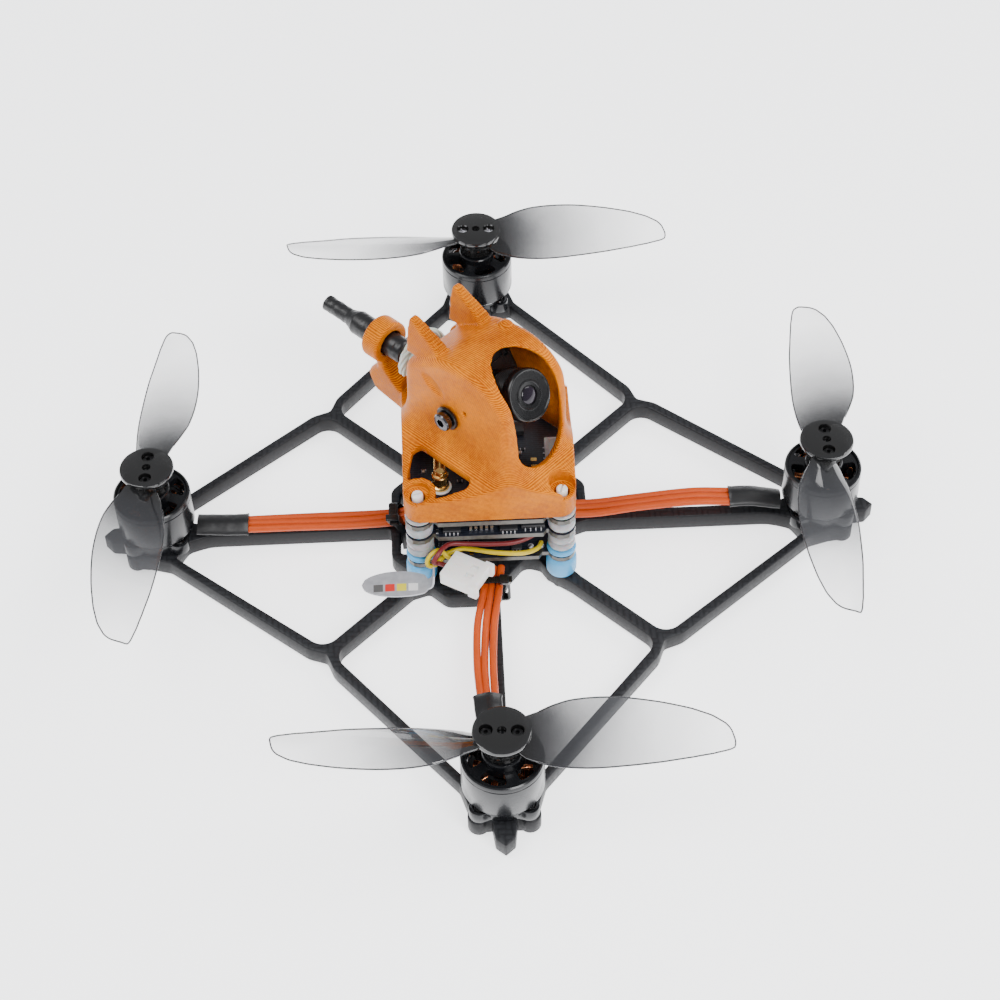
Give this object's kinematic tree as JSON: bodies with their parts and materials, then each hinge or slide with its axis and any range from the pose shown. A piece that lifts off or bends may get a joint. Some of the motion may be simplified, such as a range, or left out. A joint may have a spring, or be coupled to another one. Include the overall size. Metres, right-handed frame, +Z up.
{
  "type": "fpv racing drone",
  "caption": "Small FPV racing quadcopter with a carbon ring frame, two-blade propellers, stacked boards and an orange printed canopy holding a tilting camera.",
  "frame": {"origin": "centre of the frame plate's underside, where the battery is strapped", "axes": "+Z up through the board stack, -Y towards the nose where the camera looks, +X to port; the four arms lie at 45 degrees to X and Y"},
  "size_m": [0.1443, 0.144, 0.053],
  "materials": {
    "carbon_plate": "satin woven carbon fibre laminate",
    "black_anodised": "gloss black anodised",
    "copper_winding": "enamelled copper wire",
    "smoke_polycarbonate": "clear smoke polycarbonate, polished",
    "orange_silicone": "silicone wire insulation",
    "black_plastic": "satin black",
    "blue_rubber": "soft light blue rubber",
    "clear_silicone": "milky silicone",
    "white_nylon": "moulded white nylon",
    "circuit_board": "black solder mask",
    "orange_print": "translucent orange flexible print with visible layers",
    "steel_screw": "polished socket screw",
    "gold_plug": "gold plated",
    "yellow_wire": "silicone insulation",
    "red_wire": "silicone insulation",
    "paper_label": "silver grey paper flag"
  },
  "bodies": {
    "airframe": {"accessory_connector": "white_nylon", "accessory_wire_red": "red_wire", "accessory_wire_yellow": "yellow_wire", "antenna_coax": "clear_silicone", "antenna_plug": "gold_plug", "antenna_tube": "black_plastic", "canopy": "orange_print", "clear_sleeve_front": "clear_silicone", "clear_sleeve_left": "clear_silicone", "clear_sleeve_rear": "clear_silicone", "clear_sleeve_right": "clear_silicone", "damper_grommet_front": "blue_rubber", "damper_grommet_left": "blue_rubber", "damper_grommet_rear": "blue_rubber", "damper_grommet_right": "blue_rubber", "flight_controller_board": "circuit_board", "frame_plate": "carbon_plate", "heat_shrink_front_left": "black_plastic", "heat_shrink_front_right": "black_plastic", "heat_shrink_rear_left": "black_plastic", "heat_shrink_rear_right": "black_plastic", "motor_base_front_left": "black_anodised", "motor_base_front_right": "black_anodised", "motor_base_rear_left": "black_anodised", "motor_base_rear_right": "black_anodised", "motor_leads_front_left": "orange_silicone", "motor_leads_front_right": "orange_silicone", "motor_leads_rear_left": "orange_silicone", "motor_leads_rear_right": "orange_silicone", "power_board": "circuit_board", "stack_screw_front": "white_nylon", "stack_screw_left": "white_nylon", "stack_screw_rear": "white_nylon", "stack_screw_right": "white_nylon", "stator_front_left": "copper_winding", "stator_front_right": "copper_winding", "stator_rear_left": "copper_winding", "stator_rear_right": "copper_winding", "video_board": "circuit_board", "wire_flag_label": "paper_label", "zip_tie_front_right": "black_plastic", "zip_tie_rear_right": "black_plastic"},
    "rotor_front_left": {"rotor_bell_front_left": "black_anodised", "propeller_front_left": "smoke_polycarbonate"},
    "rotor_rear_left": {"rotor_bell_rear_left": "black_anodised", "propeller_rear_left": "smoke_polycarbonate"},
    "rotor_rear_right": {"rotor_bell_rear_right": "black_anodised", "propeller_rear_right": "smoke_polycarbonate"},
    "rotor_front_right": {"rotor_bell_front_right": "black_anodised", "propeller_front_right": "smoke_polycarbonate"},
    "camera": {"camera_body": "black_plastic", "camera_lens": "black_plastic", "camera_screw_left": "steel_screw", "camera_screw_right": "steel_screw"}
  },
  "joints": [
    {"name": "rotor_spin_front_left", "type": "hinge", "parent": "airframe", "child": "rotor_front_left", "pos_m": [0.0437, -0.0437, 0.012], "axis": [0, 0, 1], "continuous": true},
    {"name": "rotor_spin_rear_left", "type": "hinge", "parent": "airframe", "child": "rotor_rear_left", "pos_m": [0.0437, 0.0437, 0.012], "axis": [0, 0, 1], "continuous": true},
    {"name": "rotor_spin_rear_right", "type": "hinge", "parent": "airframe", "child": "rotor_rear_right", "pos_m": [-0.0437, 0.0437, 0.012], "axis": [0, 0, 1], "continuous": true},
    {"name": "rotor_spin_front_right", "type": "hinge", "parent": "airframe", "child": "rotor_front_right", "pos_m": [-0.0437, -0.0437, 0.012], "axis": [0, 0, 1], "continuous": true},
    {"name": "camera_tilt", "type": "hinge", "parent": "airframe", "child": "camera", "pos_m": [0, 0.0011, 0.0366], "axis": [1, 0, 0], "range_deg": [-15, 15]}
  ]
}
